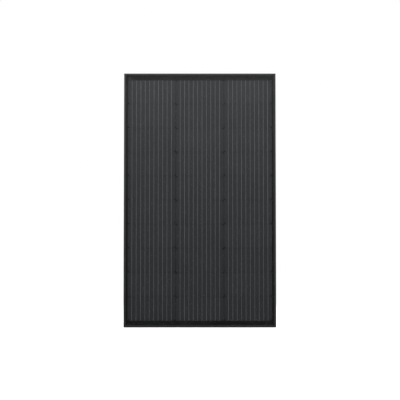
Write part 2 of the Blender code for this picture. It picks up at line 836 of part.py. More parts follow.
def make_lid():
    """The lid is one moulding: plate, skirt, sunk panel, hinge arms with pins, latch tongues."""
    skirt = BOX_WALL + GAP
    rings = [
        box_ring(skirt + LID_SKIRT_T, LID_FRONT),
        box_ring(skirt + LID_SKIRT_T, LID_FRONT - LID_SKIRT_D),
        box_ring(skirt, LID_FRONT - LID_SKIRT_D),
        box_ring(skirt, LID_FRONT),
        box_ring(0, LID_FRONT),
        box_ring(0, LID_REAR - LID_EDGE),
        box_ring(LID_EDGE, LID_REAR),
        box_ring(LID_PANEL_INSET, LID_REAR),
        box_ring(LID_PANEL_INSET + LID_PANEL_SINK, LID_REAR - LID_PANEL_SINK),
    ]
    lid = loft("junction_box_lid", "black_plastic", rings)
    for sign in (-1, 1):
        side = side_name(sign)
        middle = sign * HINGE_X
        reach = HOOK_W / 2 + GAP
        for inner, outer in ((-reach - ARM_W, -reach), (reach, reach + ARM_W)):
            place = across(middle + inner, middle + outer)
            label = f"lid_arm_{side}_{'outer' if inner * sign > 0 else 'inner'}"
            combine(lid, prism(label, "black_plastic", arm_outline(), place), "UNION")
        pin = arc((HINGE_Y, HINGE_Z), PIN_R, 30, 360, 11)
        inset = reach + ARM_W / 2
        place = across(middle - inset, middle + inset)
        combine(lid, prism(f"lid_pin_{side}", "black_plastic", pin, place), "UNION")
        tongue = [
            (LID_FRONT + LID_T / 4, BOX_BOTTOM + BOX_WALL / 2),
            (LID_FRONT + LID_T / 4, BOX_BOTTOM - GAP),
            (LID_FRONT - LATCH_D, BOX_BOTTOM - GAP),
            (LID_FRONT - LATCH_D, BOX_BOTTOM - GAP - LATCH_T),
            (LID_REAR - LID_EDGE, BOX_BOTTOM - GAP - LATCH_T),
            (LID_REAR - LID_EDGE, BOX_BOTTOM + BOX_WALL / 2),
        ]
        left = sign * LATCH_X - LATCH_W / 2
        place = across(left, left + LATCH_W)
        combine(lid, prism(f"lid_tongue_{side}", "black_plastic", tongue, place), "UNION")
    return lid


def box_sheet_outline(inset):
    return [(x, z) for x, _, z in box_ring(inset, 0)]


def make_box_seals():
    outer, inner = box_sheet_outline(GAP), box_sheet_outline(BOX_WALL)
    place = upright(RIM + FIT, GASKET_T)
    gasket = prism("lid_gasket", "black_rubber", outer, place, [inner])
    outer = box_sheet_outline(-BOX_FOOT + GAP)
    inner = box_sheet_outline(ADHESIVE_W)
    place = upright(ADHESIVE_FRONT, ADHESIVE_T)
    prism("junction_box_adhesive", "sealant", outer, place, [inner])
    return gasket


def make_terminal(name, x):
    """A folded strip: a tall tab against the lead and a short tab under the diode's lead."""
    top = LEAD_Z - BUS_T / 2 - FIT
    low = FLOOR_REAR + FIT
    path = [
        (low + TERMINAL_TALL, top - TERMINAL_T / 2),
        (low + TERMINAL_T / 2, top - TERMINAL_T / 2),
        (low + TERMINAL_T / 2, top + TERMINAL_T / 2 - TERMINAL_L),
        (low + TERMINAL_SHORT, top + TERMINAL_T / 2 - TERMINAL_L),
    ]
    outline = bent_strip(path, TERMINAL_T)
    prism(name, "tinned_copper", outline, across(x - TERMINAL_W / 2, x + TERMINAL_W / 2))


def ring_about_x(x, radius, y, z, hexagon=False):
    """Points round an axis along x: a circle, or a hexagon with the given radius to its flats."""
    points = []
    for i in range(ROUND_SIDES):
        t = 2 * pi * i / ROUND_SIDES
        r = radius
        if hexagon:
            off_flat = (t + pi / 6) % (pi / 3) - pi / 6
            r = radius / cos(off_flat)
        points.append((x, y + r * cos(t), z + r * sin(t)))
    return points


def make_diode(name, from_x, to_x):
    """An axial diode between two terminals, on their short tabs."""
    y = FLOOR_REAR + FIT + TERMINAL_SHORT + FIT + DIODE_LEAD_R
    z = LEAD_Z - BUS_T / 2 - FIT + TERMINAL_T / 2 - TERMINAL_L
    middle = (from_x + to_x) / 2
    lead_end = (to_x - from_x) / 2 - DIODE_LEAD_SPACING / 2
    half = DIODE_L / 2
    profile = [
        (-lead_end, DIODE_LEAD_R),
        (-half, DIODE_LEAD_R),
        (-half, DIODE_R - DIODE_EDGE),
        (-half + DIODE_EDGE, DIODE_R),
        (half - DIODE_EDGE, DIODE_R),
        (half, DIODE_R - DIODE_EDGE),
        (half, DIODE_LEAD_R),
        (lead_end, DIODE_LEAD_R),
    ]
    rings = [ring_about_x(middle + a, r, y, z) for a, r in profile]
    smooth(loft(name, "diode_resin", rings))


def turned_on_gland(name, finish_name, sign, profile):
    """A ring-shaped piece on a gland's axis, from points (outward, radius, hexagonal or not)."""
    rings = [
        ring_about_x(side_wall_x(sign, outward), radius, GLAND_Y, GLAND_Z, hexagon)
        for outward, radius, hexagon in profile
    ]
    smooth(loft(name, finish_name, rings, closed=True))


def make_gland(sign):
    side = side_name(sign)
    inside = -BOX_WALL - GLAND_INSIDE
    collar = GAP + GLAND_COLLAR
    stub = collar + GLAND_STUB
    flats = GLAND_FLATS / 2
    body = [
        (inside, GLAND_BORE_R, False),
        (inside, GLAND_R, False),
        (GAP, GLAND_R, False),
        (GAP, flats, True),
        (collar, flats, True),
        (collar, GLAND_R, False),
        (stub, GLAND_R, False),
        (stub, GLAND_BORE_R, False),
    ]
    turned_on_gland(f"gland_body_{side}", "black_plastic", sign, body)
    nut_start = collar + GAP
    hex_end = nut_start + NUT_HEX_L
    nut_end = hex_end + NUT_DOME_L
    nut = [
        (nut_start, GLAND_R + GAP, False),
        (nut_start, flats, True),
        (hex_end, flats, True),
        (hex_end, flats - GAP, False),
        (nut_end, NUT_LIP_R, False),
        (nut_end, CABLE_R, False),
        (stub + GAP, CABLE_R, False),
        (stub + GAP, GLAND_R + GAP, False),
    ]
    turned_on_gland(f"gland_nut_{side}", "black_plastic", sign, nut)
    seal = [
        (GAP, SEAL_BORE_R, False),
        (GAP, GLAND_BORE_R - GAP, False),
        (stub, GLAND_BORE_R - GAP, False),
        (stub, SEAL_BORE_R, False),
    ]
    turned_on_gland(f"gland_seal_{side}", "black_rubber", sign, seal)


# ---------------------------------------------------------------- the whole panel


def place_on_hinge(pieces):
    """Carry the lid's pieces on an empty that lies on the hinge's axis."""
    hinge = bpy.data.objects.new("lid_hinge", None)
    hinge.location = (0, HINGE_Y, HINGE_Z)
    bpy.context.collection.objects.link(hinge)
    for piece in pieces:
        piece.parent = hinge
        piece.location = (0, -HINGE_Y, -HINGE_Z)


def build():
    for old in list(bpy.data.objects):
        bpy.data.objects.remove(old)
    for side in SIDES:
        make_frame_bar(side)
        make_edge_seal(side)
    for vertical in ("top", "bottom"):
        for horizontal in ("left", "right"):
            make_corner_key(vertical, horizontal)
    make_sheets()
    make_strings()
    make_buses()
    make_bus_covers()
    make_leads()
    make_insulation()
    make_base()
    lid = make_lid()
    gasket = make_box_seals()
    place_on_hinge([lid, gasket])
    for name, x in zip(("positive", "middle", "return"), lead_xs()):
        make_terminal(f"terminal_{name}", x)
    left, middle, right = lead_xs()
    make_diode("bypass_diode_1", left, middle)
    make_diode("bypass_diode_2", middle, right)
    for sign in (-1, 1):
        make_gland(sign)


build()
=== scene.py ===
# %% [markdown]
# # A framed solar panel, dressed for its portrait
#
# The panel's solids come from the CAD model and are never moved here. This file gives them their
# finishes, adds the beads and small mouldings that are too fine for the solids, and sets up the
# studio. It is written in cells, so that it can be read and run step by step. The model stands
# upright: x runs across it, y from its front to its rear, and z up. All lengths are in metres.

# %% Load the frame
import math

import bmesh
import bpy
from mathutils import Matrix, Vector, noise


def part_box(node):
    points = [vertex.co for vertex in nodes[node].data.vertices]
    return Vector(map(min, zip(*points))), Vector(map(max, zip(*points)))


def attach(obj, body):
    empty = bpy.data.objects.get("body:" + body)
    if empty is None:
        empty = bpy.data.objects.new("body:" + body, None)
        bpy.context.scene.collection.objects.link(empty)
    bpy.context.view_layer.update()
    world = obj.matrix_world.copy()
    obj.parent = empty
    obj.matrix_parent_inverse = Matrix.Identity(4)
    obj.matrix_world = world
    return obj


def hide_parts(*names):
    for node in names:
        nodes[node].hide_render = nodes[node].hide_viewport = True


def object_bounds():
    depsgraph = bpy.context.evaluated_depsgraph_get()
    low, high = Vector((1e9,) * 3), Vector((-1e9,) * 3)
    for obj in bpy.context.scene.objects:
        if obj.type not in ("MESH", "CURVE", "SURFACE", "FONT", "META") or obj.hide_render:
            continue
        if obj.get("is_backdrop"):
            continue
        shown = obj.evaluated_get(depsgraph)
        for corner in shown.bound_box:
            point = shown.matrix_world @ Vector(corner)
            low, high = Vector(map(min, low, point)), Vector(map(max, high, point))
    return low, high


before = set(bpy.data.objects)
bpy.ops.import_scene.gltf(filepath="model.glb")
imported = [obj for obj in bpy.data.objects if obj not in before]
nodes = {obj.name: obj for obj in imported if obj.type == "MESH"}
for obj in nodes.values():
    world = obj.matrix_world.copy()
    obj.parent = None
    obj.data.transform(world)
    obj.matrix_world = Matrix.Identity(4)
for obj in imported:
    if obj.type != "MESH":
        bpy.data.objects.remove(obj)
cad_low, cad_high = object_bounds()
print("nodes:", len(nodes), "box:", [round(v, 4) for v in (*cad_low, *cad_high)])

MM = 0.001

# %% [markdown]
# ## The camera
#
# The photograph shows the panel from the front with hardly any perspective, so the camera stands
# far off with a long lens. Its upright edges lean in by less than one part in a hundred towards
# the top, which says that the lens points up by about three degrees. A short lens close by could
# fill the frame as well, but it would show the panel's sides. Blender counts lenses and sensors
# in millimetres, and a lens follows from the span that it has to show at a distance.

# %% Camera
CAMERA_AWAY = 5.0
SPAN_SEEN = 1.5229  # what the picture shows across, at the panel's front
LOOK_UP = math.radians(3.0)
SENSOR_IN_MM = 36.0
AIM_X, AIM_Z = 0.6 * MM, -0.35 * MM
FARTHEST_SEEN = 200

camera_data = bpy.data.cameras.new("long_lens")
camera_data.sensor_width = SENSOR_IN_MM
camera_data.lens = SENSOR_IN_MM * CAMERA_AWAY / SPAN_SEEN
camera_data.clip_end = FARTHEST_SEEN
camera = bpy.data.objects.new("camera", camera_data)
bpy.context.scene.collection.objects.link(camera)
drop = CAMERA_AWAY * math.tan(LOOK_UP)
camera.location = (AIM_X, cad_low.y - CAMERA_AWAY, AIM_Z - drop)
camera.rotation_euler = (math.pi / 2 + LOOK_UP, 0, 0)
bpy.context.scene.camera = camera
print("lens:", round(camera_data.lens, 1), "mm, height:", round(camera.location.z, 3))

# %% [markdown]
# ## Finishes from nodes
#
# Each finish is one Principled shader. What is the same all over, such as an index of refraction,
# is set on the shader itself. What varies, such as grain, comes from noise through a few nodes.
# Wiring nodes one by one takes many lines, so two helpers keep it short: one starts a finish, and
# the other adds a node with its wires.


# %% Helpers for finishes
def start_finish(name, settings):
    """A new material whose Principled shader has these plain settings."""
    made = bpy.data.materials.new(name)
    made.use_nodes = True
    shader = made.node_tree.nodes["Principled BSDF"]
    for socket, value in settings.items():
        shader.inputs[socket].default_value = value
    return made, shader


def node(tree, kind, settings=(), wires=()):
    """A node with its settings, and wires of (input, socket or plain value)."""
    made = tree.nodes.new(kind)
    for key, value in dict(settings).items():
        setattr(made, key, value)
    for key, value in dict(wires).items():
        if isinstance(value, bpy.types.NodeSocket):
            tree.links.new(value, made.inputs[key])
        else:
            made.inputs[key].default_value = value
    return made


print("helpers for finishes ready")

# %% [markdown]
# ## What varies
#
# Every finish repeats a few steps. It asks where a point is, takes a noise there, brings it to the
# range that it needs, and makes a tone, a roughness or a relief of it. A picture of the surface
# could hold all that, but it would need unwrapping and would end somewhere. Noise in the model's
# own space fits any solid, and its grain has a real size.


# %% Helpers for noise
def places(tree, scale=(1, 1, 1)):
    """Each point's place in the model, in metres, stretched by scale."""
    spot = node(tree, "ShaderNodeTexCoord").outputs["Object"]
    return node(tree, "ShaderNodeMapping", {}, {"Vector": spot, "Scale": scale}).outputs[0]


def grain(tree, vector, scale, detail=4.0, rough=0.5):
    """Noise from 0 to 1. The scale is about how many swells there are in a metre."""
    wires = {"Vector": vector, "Scale": scale, "Detail": detail, "Roughness": rough}
    return node(tree, "ShaderNodeTexNoise", {}, wires).outputs["Fac"]


def spread(tree, value, low, high, from_low=0.3, from_high=0.7):
    """Brings a value from one range to another. Noise seldom leaves 0.3 to 0.7."""
    wires = {"Value": value, 1: from_low, 2: from_high, 3: low, 4: high}
    return node(tree, "ShaderNodeMapRange", {}, wires).outputs[0]


def between(tree, share, dark, light):
    """A colour between two, by share."""
    wires = {"Factor": share, 6: (*dark, 1), 7: (*light, 1)}
    return node(tree, "ShaderNodeMix", {"data_type": "RGBA"}, wires).outputs[2]


print("helpers for noise ready")


# %% Helpers for tone, roughness and relief
def toned(tree, shader, share, dark, light):
    """Gives the shader a colour that varies between two."""
    tree.links.new(between(tree, share, dark, light), shader.inputs["Base Color"])


def roughened(tree, shader, value, low, high):
    """Gives the shader a roughness that varies with a noise."""
    tree.links.new(spread(tree, value, low, high), shader.inputs["Roughness"])


def bumped(tree, shader, height, distance, strength=1.0):
    """Gives the shader a relief: height from 0 to 1 stands for distance in metres."""
    wires = {"Height": height, "Distance": distance, "Strength": strength}
    relief = node(tree, "ShaderNodeBump", {}, wires)
    tree.links.new(relief.outputs[0], shader.inputs["Normal"])


print("helpers for surfaces ready")

# %% [markdown]
# ## Putting finishes on
#
# Most pieces are of one stuff. A few solids are of two, such as a cell with its ribbons, since
# the CAD model makes them in one. They could be cut apart, but their faces tell the two stuffs
# apart well enough by where they lie, so each face is simply given the first or the second.

# %% Helpers for dressing
SQUARE_ON = 0.99  # from here on, a face counts as square to an axis


def dress(names, *finishes):
    """Puts these finishes on CAD nodes. The first one goes all over."""
    for name in names:
        materials = nodes[name].data.materials
        materials.clear()
        for finish in finishes:
            materials.append(finish)
    print(finishes[0].name, "on nodes:", len(names))


def sort_faces(name, is_second):
    """Gives the second finish to the faces that pass the test."""
    mesh = nodes[name].data
    for face in mesh.polygons:
        face.material_index = int(is_second(face, mesh))
    second = sum(face.material_index for face in mesh.polygons)
    print(name, "has", len(mesh.polygons), "faces,", second, "of the second finish")


print("helpers for dressing ready")

# %% [markdown]
# ## Black anodised aluminium
#
# The frame bars are extruded and then anodised black. The die leaves fine lines along each bar,
# and the dye makes a satin black that is never quite even. Lines could be scratched in with a
# wave texture, but a wave repeats. One noise, stretched along the bar, gives uneven lines, and a
# soft second one the cloudy tone. Upright and level bars need their own stretch.

# %% Frame finish
DIE_LINES = 1800
STRETCH_ALONG = 0.02
ANODISED_DARK, ANODISED_LIGHT = (0.010, 0.010, 0.0105), (0.014, 0.014, 0.0148)


def anodised(name, along):
    """Black anodised aluminium with die lines along one axis."""
    settings = {"Metallic": 0.0, "Specular IOR Level": 0.14}
    made, shader = start_finish(name, settings)
    tree = made.node_tree
    stretch = tuple(STRETCH_ALONG if axis == along else 1.0 for axis in "xyz")
    lines = grain(tree, places(tree, stretch), DIE_LINES, 3)
    cloud = grain(tree, places(tree), 18, 3)
    toned(tree, shader, spread(tree, cloud, 0, 1), ANODISED_DARK, ANODISED_LIGHT)
    roughened(tree, shader, lines, 0.48, 0.62)
    bumped(tree, shader, lines, 0.02 * MM, 0.6)
    return made


dress(["frame_left", "frame_right"], anodised("anodised_upright", "z"))
dress(["frame_top", "frame_bottom"], anodised("anodised_level", "x"))

# %% [markdown]
# ## Half cells
#
# A cell is dark, blue-black silicon with a soft lustre. Very fine silver fingers run across it,
# and each cell comes out of the furnace a little lighter or darker than its neighbour. Thirty
# materials could give thirty tones. One does it too: rounding a point's place down to the cell
# grid gives every cell its own number, and a white noise turns that number into its tone.

# %% Cell finish
COLUMN_PITCH = 184 * MM
ROW_PITCH = 92 * MM
FINGER_PITCH = 1.8 * MM
WAVE_GAIN = 20  # the wave texture multiplies a place by this before it takes the sine
CELL_DARK, CELL_LIGHT = (0.0208, 0.0228, 0.0247), (0.0258, 0.0278, 0.0297)
FINGER_SILVER = (0.06, 0.06, 0.06, 1)
FINGERS_SHOW = 0.16


def cell_number(tree, value, pitch, shift):
    """Which cell a place is in, counted along one axis."""
    run = node(
        tree,
        "ShaderNodeMath",
        {"operation": "MULTIPLY_ADD"},
        {0: value, 1: 1 / pitch, 2: shift},
    )
    return node(tree, "ShaderNodeMath", {"operation": "FLOOR"}, {0: run.outputs[0]}).outputs[0]


def silicon():
    """Blue-black cell silicon, its tone set cell by cell, with fine fingers."""
    settings = {"Metallic": 0.0, "Specular IOR Level": 0.03}
    made, shader = start_finish("cell_silicon", settings)
    tree = made.node_tree
    here = places(tree)
    split = node(tree, "ShaderNodeSeparateXYZ", {}, {0: here})
    column = cell_number(tree, split.outputs["X"], COLUMN_PITCH, 0.5)
    row = cell_number(tree, split.outputs["Z"], ROW_PITCH, 0.0)
    pair = node(tree, "ShaderNodeCombineXYZ", {}, {"X": column, "Z": row}).outputs[0]
    own = node(tree, "ShaderNodeTexWhiteNoise", {}, {"Vector": pair}).outputs["Value"]
    cloud = grain(tree, here, 25, 2)
    mixed = node(tree, "ShaderNodeMath", {"operation": "MULTIPLY_ADD"}, {0: own, 1: 0.6, 2: cloud})
    share = spread(tree, mixed.outputs[0], 0, 1, 0.3, 1.3)
    tone = between(tree, share, CELL_DARK, CELL_LIGHT)
    wave_scale = 2 * math.pi / (WAVE_GAIN * FINGER_PITCH)
    wave = node(
        tree,
        "ShaderNodeTexWave",
        {"bands_direction": "Z", "wave_profile": "SIN"},
        {"Vector": here, "Scale": wave_scale, "Distortion": 0.0},
    )
    fingers = spread(tree, wave.outputs["Fac"], 0, FINGERS_SHOW, 0.7, 1.0)
    lit = node(
        tree,
        "ShaderNodeMix",
        {"data_type": "RGBA"},
        {"Factor": fingers, 6: tone, 7: FINGER_SILVER},
    )
    tree.links.new(lit.outputs[2], shader.inputs["Base Color"])
    roughened(tree, shader, grain(tree, here, 900, 2), 0.35, 0.5)
    return made


cell_finish = silicon()
print("cell grid:", COLUMN_PITCH / MM, "by", ROW_PITCH / MM, "mm")

# %% [markdown]
# ## Ribbons
#
# The ribbons are copper wire, dipped in tin: a soft pale metal, smooth but a little wavy from the
# dip. A string's solid holds its cells and its ribbons in one, so its faces are sorted: what
# stands off the level faces of a cell is ribbon, and the rest is silicon.


# %% Ribbon finish
def tinned(name, tone, metallic=1.0):
    """Tinned copper: a soft metal, dipped, so it is smooth but wavy."""
    made, shader = start_finish(name, {"Metallic": metallic})
    tree = made.node_tree
    here = places(tree)
    cloud = grain(tree, here, 120, 3)
    dark = tuple(0.85 * v for v in tone)
    toned(tree, shader, spread(tree, cloud, 0, 1), dark, tone)
    roughened(tree, shader, grain(tree, here, 400, 2), 0.28, 0.42)
    bumped(tree, shader, cloud, 0.05 * MM, 0.5)
    return made


ribbon_finish = tinned("ribbon_tin", (0.3, 0.3, 0.31), 0.0)
strings = ["cell_string_1", "cell_string_2", "cell_string_3"]
dress(strings, cell_finish, ribbon_finish)

# %% Sort the strings' faces
CELL_FRONT = -23.55 * MM
CELL_REAR = -23.35 * MM
HAIR = 0.01 * MM


def is_ribbon(face, mesh):
    """True for what stands off the cell, in front of it, behind it or between two cells."""
    if abs(face.normal.y) >= SQUARE_ON:
        return False
    depths = [mesh.vertices[i].co.y for i in face.vertices]
    return min(depths) < CELL_FRONT - HAIR or max(depths) > CELL_REAR + HAIR


for name in strings:
    sort_faces(name, is_ribbon)

# %% [markdown]
# ## Glass
#
# The front is hardened glass with an anti-reflective skin, so it mirrors much less than window
# glass. Its rear face is bonded to the layer behind it, where light passes on without a mirror
# image. So only the front and the edges are glass, and the rear face lets everything through.
# Light has to reach the cells too. Bent through glass it would be noise, so the clear layers are
# hidden from the rays that carry light, and shown to the camera and to mirror images.

# %% Glass finish
GLASS_TINT = (0.97, 0.985, 0.98, 1)
COATED_IOR = 1.05


def clear_glass():
    """Anti-reflective glass with a trace of haze."""
    settings = {"Base Color": GLASS_TINT, "Transmission Weight": 1.0, "IOR": COATED_IOR}
    made, shader = start_finish("panel_glass", settings)
    tree = made.node_tree
    roughened(tree, shader, grain(tree, places(tree), 60, 3), 0.02, 0.06)
    return made


def clear_film(name, tone, alpha):
    """A bonded clear layer: it shows only as a trace of its own tone."""
    settings = {"Alpha": alpha, "Specular IOR Level": 0.0, "Roughness": 0.6}
    made, shader = start_finish(name, settings)
    tree = made.node_tree
    cloud = grain(tree, places(tree), 40, 2)
    dark = tuple(0.8 * v for v in tone)
    toned(tree, shader, spread(tree, cloud, 0, 1), dark, tone)
    return made


# %% Clear layers
bonded_face = clear_film("bonded_face", (0.02, 0.02, 0.02), 0.02)
dress(["front_glass"], clear_glass(), bonded_face)
sort_faces("front_glass", lambda face, mesh: face.normal.y > SQUARE_ON)
encapsulant = clear_film("encapsulant_film", (0.03, 0.032, 0.034), 0.03)
dress(["front_encapsulant", "rear_encapsulant"], encapsulant)
for name in ("front_glass", "front_encapsulant", "rear_encapsulant"):
    nodes[name].visible_shadow = False
    nodes[name].visible_diffuse = False

# %% [markdown]
# ## Films, plastics and rubber
#
# The sheet behind the cells, the strips over the buses, the junction box and its seals are all
# black, and only their surfaces tell them apart: the film is even and fine, the moulded plastic
# has a spark-eroded grain, and rubber is dull. One recipe with different numbers makes them all.
# Where a black film is bonded to the layer in front of it, it has no gloss of its own, so it gets
# a deeper black there and hardly any mirror.


# %% Black finishes
def black_stuff(name, tone, rough, scale, relief, specular=0.5):
    """A black surface: two close tones, a roughness that varies, and a relief."""
    made, shader = start_finish(name, {"Metallic": 0.0, "Specular IOR Level": specular})
    tree = made.node_tree
    here = places(tree)
    cloud = grain(tree, here, 30, 3)
    dark = tuple(0.75 * v for v in tone)
    toned(tree, shader, spread(tree, cloud, 0, 1), dark, tone)
    fine = grain(tree, here, scale, 3, 0.6)
    roughened(tree, shader, fine, rough - 0.08, rough + 0.08)
    bumped(tree, shader, fine, relief)
    return made


BONDED_BLACK = (0.0055, 0.0055, 0.0055)
rear_film = black_stuff("backsheet_film", (0.021, 0.021, 0.022), 0.42, 700, 0.03 * MM, 0.35)
bonded_film = black_stuff("backsheet_bonded", BONDED_BLACK, 0.45, 500, 0.02 * MM, 0.065)
dress(["backsheet"], rear_film, bonded_film)
sort_faces("backsheet", lambda face, mesh: face.normal.y < -SQUARE_ON)
cover_film = black_stuff("bus_cover_film", BONDED_BLACK, 0.45, 500, 0.02 * MM, 0.045)
dress(["bus_cover_top", "bus_cover_bottom", "insulating_sheet", "return_insulator"], cover_film)

# %% [markdown]
# ## Furrows in the rear film
#
# In the laminator the soft film is pressed down between the cells, so their grid shows at the
# rear as faint furrows. Cut into the mesh they would need thousands of faces for a quarter of a
# millimetre. A brick pattern without an offset has just such joints, so it is laid over the
# cells' places and goes under the film's own relief.

# %% Furrows of the cell grid
HALF_COLUMNS, HALF_ROWS = 1.5, 5
FURROW_WIDTH = 4 * MM
FURROW_DEPTH = 0.25 * MM

film_tree = rear_film.node_tree
spot = node(film_tree, "ShaderNodeTexCoord").outputs["Object"]
grid_start = (HALF_COLUMNS * COLUMN_PITCH, HALF_ROWS * ROW_PITCH, 0)
laid = node(
    film_tree,
    "ShaderNodeMapping",
    {},
    {"Vector": spot, "Rotation": (-math.pi / 2, 0, 0), "Location": grid_start},
)
grid = node(
    film_tree,
    "ShaderNodeTexBrick",
    {"offset": 0.0},
    {
        "Vector": laid.outputs[0],
        "Scale": 1.0,
        "Mortar Size": FURROW_WIDTH,
        "Mortar Smooth": 1.0,
        "Brick Width": COLUMN_PITCH,
        "Row Height": ROW_PITCH,
    },
)
furrow = spread(film_tree, grid.outputs["Fac"], 1.0, 0.0, 0.0, 1.0)
fine_relief = next(n for n in film_tree.nodes if n.bl_idname == "ShaderNodeBump")
wide_relief = node(film_tree, "ShaderNodeBump", {}, {"Height": furrow, "Distance": FURROW_DEPTH})
film_tree.links.new(wide_relief.outputs[0], fine_relief.inputs["Normal"])
print("furrows:", FURROW_WIDTH / MM, "mm wide,", FURROW_DEPTH / MM, "mm deep")

# %% [markdown]
# ## Seals, box and glands
#
# The same recipe again. Sealant and rubber are the dullest, the diodes' resin is the smoothest,
# and the box and its lid are two mouldings, so their blacks differ by a shade. The numbers are
# the tone, the roughness, how fine the grain is and how deep.

# %% Sealant, plastic, rubber and resin
seal = black_stuff("edge_sealant", (0.012, 0.012, 0.012), 0.6, 300, 0.05 * MM, 0.3)
dress(["edge_seal_left", "edge_seal_right", "edge_seal_top", "edge_seal_bottom"], seal)
adhesive = black_stuff("box_adhesive", (0.02, 0.02, 0.02), 0.55, 200, 0.1 * MM)
dress(["junction_box_adhesive"], adhesive)
box_plastic = black_stuff("box_plastic", (0.022, 0.022, 0.023), 0.48, 1100, 0.06 * MM)
dress(["junction_box_base"], box_plastic)
lid_plastic = black_stuff("lid_plastic", (0.024, 0.024, 0.025), 0.5, 900, 0.07 * MM)
dress(["junction_box_lid"], lid_plastic)
gland_plastic = black_stuff("gland_plastic", (0.02, 0.02, 0.02), 0.42, 900, 0.04 * MM)
dress(["gland_body_left", "gland_body_right", "gland_nut_left", "gland_nut_right"], gland_plastic)
rubber = black_stuff("seal_rubber", (0.013, 0.013, 0.013), 0.75, 500, 0.05 * MM, 0.3)
dress(["lid_gasket", "gland_seal_left", "gland_seal_right"], rubber)
resin = black_stuff("diode_resin", (0.016, 0.016, 0.017), 0.35, 400, 0.02 * MM)

# %% [markdown]
# ## Metals inside
#
# The buses, leads and terminals are tinned copper like the ribbons, but thicker and brighter, and
# the keys in the corners are bare cast metal. A diode is a block of resin with a tinned wire out
# of each end. Its solid is one, so its faces are sorted too: what lies far enough from the
# middle, along the diode, is wire.

# %% Metals
bus_finish = tinned("bus_tin", (0.46, 0.46, 0.465))
conductors = ("bus_top", "bus_bottom", "lead_", "terminal_")
dress([name for name in nodes if name.startswith(conductors)], bus_finish)
key_finish = tinned("cast_key", (0.5, 0.5, 0.51))
dress([name for name in nodes if name.startswith("corner_key")], key_finish)

WIRE_FROM_MIDDLE = 4.55 * MM
diodes = ["bypass_diode_1", "bypass_diode_2"]
dress(diodes, resin, bus_finish)
for name in diodes:
    low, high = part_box(name)
    middle = (low.x + high.x) / 2
    sort_faces(name, lambda face, mesh: abs(face.center.x - middle) > WIRE_FROM_MIDDLE)
bare = [name for name, piece in nodes.items() if not piece.data.materials[0].use_nodes]
print("pieces without a finish:", bare)

# %% [markdown]
# ## Skins over rings
#
# The small pieces that follow are beads and turned mouldings. Blender's own ring or cylinder would
# need many edits afterwards, so each is made straight from its section: rings of points, carried
# along a path or round an axis and joined by faces. Every piece rides on a body of the CAD model,
# so that it moves with it, and the CAD nodes that it stands for, if any, are hidden.

# %% Helpers for pieces
ROUND_BELOW = math.radians(40)


def placed(name, mesh, body, stands_for=()):
    """Puts a mesh into the scene as a piece that rides on a body."""
    piece = bpy.data.objects.new(name, mesh)
    bpy.context.scene.collection.objects.link(piece)
    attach(piece, body)
    if stands_for:
        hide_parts(*stands_for)
    return piece


def skinned(name, rows, finish_made, loop=False, stands_for=()):
    """A closed skin over rows of points. A loop joins its last row to its first."""
    bm = bmesh.new()
    rings = [[bm.verts.new(point) for point in row] for row in rows]
    for a in range(0 if loop else 1, len(rings)):
        before, after = rings[a - 1], rings[a]
        for i in range(len(after)):
            bm.faces.new((before[i - 1], before[i], after[i], after[i - 1]))
    if not loop:
        bm.faces.new(rings[0])
        bm.faces.new(rings[-1])
    bmesh.ops.recalc_face_normals(bm, faces=bm.faces)
    mesh = bpy.data.meshes.new(name)
    bm.to_mesh(mesh)
    bm.free()
    mesh.shade_smooth()
    mesh.set_sharp_from_angle(angle=ROUND_BELOW)
    mesh.materials.append(finish_made)
    return placed(name, mesh, "panel", stands_for)


print("helpers for pieces ready")

# %% [markdown]
# ## Paths for beads
#
# A bead of sealant follows a rectangle with round corners. Its path is a list of stations, each
# with the direction that points out of the rectangle there. Straight runs get stations too, since
# a real bead swells and thins on its way, and a long face can't do that.

# %% Helpers for beads
CORNER_STEPS = 4
LONGEST_RUN = 12 * MM
SWELLS = 45  # how many times in a metre a bead swells, about


def round_path(half_w, half_h, radius, middle_z=0.0):
    """Stations round a rounded rectangle: x, z and the direction out of it."""
    stations = []
    for turn in range(4):
        start = turn * math.pi / 2
        sign_x = 1 if turn in (0, 3) else -1
        sign_z = 1 if turn in (0, 1) else -1
        corner = Vector((sign_x * (half_w - radius), middle_z + sign_z * (half_h - radius)))
        for i in range(CORNER_STEPS + 1):
            t = start + i * math.pi / (2 * CORNER_STEPS)
            out = Vector((math.cos(t), math.sin(t)))
            stations.append((corner + radius * out, out))
    filled = []
    for i, (spot, out) in enumerate(stations):
        filled.append((spot, out))
        after = stations[(i + 1) % len(stations)][0]
        extra = int((after - spot).length / LONGEST_RUN)
        for k in range(1, extra):
            filled.append((spot.lerp(after, k / extra), out))
    return filled


def bead(name, path, section, finish_made, wobble, corner=0.0):
    """A bead of sealant. Its section is in steps out of the path and in y. Where the path turns
    by a radius inside a square corner, the section's outer points go on into the corner."""
    low_y = section[0][1]
    outermost = max(outward for outward, y in section)
    rows = []
    for spot, out in path:
        full = 1 + wobble * noise.noise(Vector((spot.x * SWELLS, 0.5, spot.y * SWELLS)))
        into_corner = corner * (1 / max(abs(out.x), abs(out.y)) - 1)
        row = []
        for outward, y in section:
            further = into_corner if outward > outermost - HAIR else 0.0
            where = spot + out * (outward * full + further)
            row.append((where.x, low_y + (y - low_y) * full, where.y))
        rows.append(row)
    return skinned(name, rows, finish_made, loop=True)


print("helpers for beads ready")

# %% [markdown]
# ## Sealant beads
#
# The laminate is bedded in black sealant, and a little of it is squeezed out on both sides: a hair
# line beside the front lip, and a narrow wavy fillet at the rear, where the film meets the frame.
# A curve with a section of its own could follow the path, but it couldn't go on into a square
# corner. These sections fill the corner that they lie in, and a slow noise swells and thins them.

